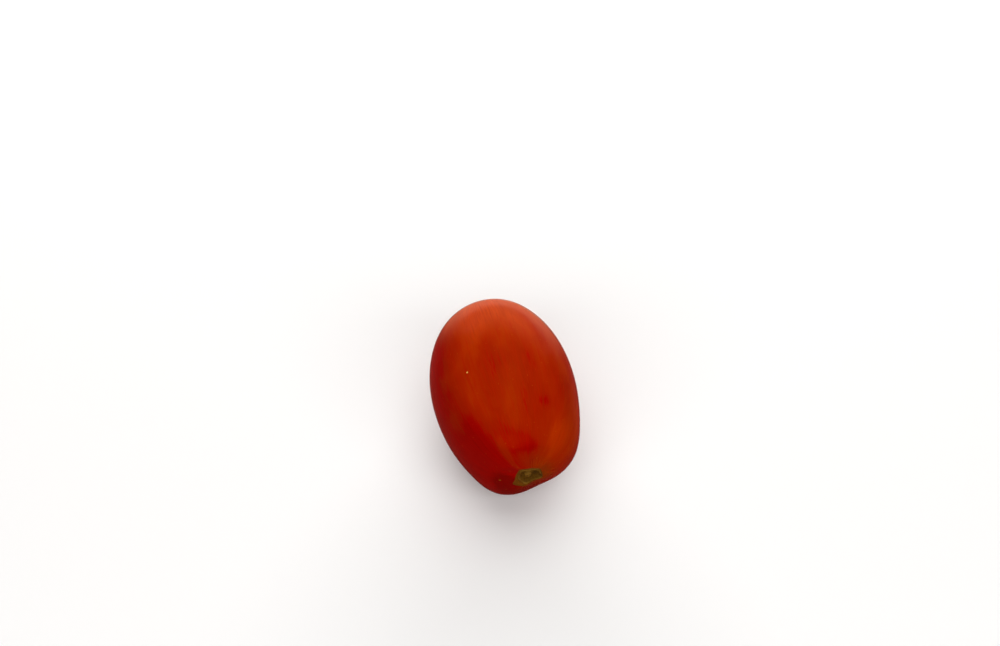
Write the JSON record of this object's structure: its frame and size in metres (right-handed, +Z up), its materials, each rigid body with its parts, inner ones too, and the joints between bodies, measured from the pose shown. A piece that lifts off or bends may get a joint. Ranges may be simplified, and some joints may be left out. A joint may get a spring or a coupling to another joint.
{
  "type": "tomato",
  "caption": "Ripe plum tomato without its calyx, lying on its side: a smooth, long red fruit with a corky stem scar at one end and a small blossom scar at the other.",
  "frame": {"origin": "on the surface that the fruit lies on, under the middle of its bounding box", "axes": "+Y along the fruit from the stem end to the blossom end, +Z up from the surface that it lies on"},
  "size_m": [0.0514, 0.0802, 0.049],
  "materials": {
    "skin": "smooth waxy red skin with a soft gloss",
    "cork": "dry matt olive-brown cork"
  },
  "bodies": {
    "root": {"tomato": "skin"}
  },
  "joints": []
}
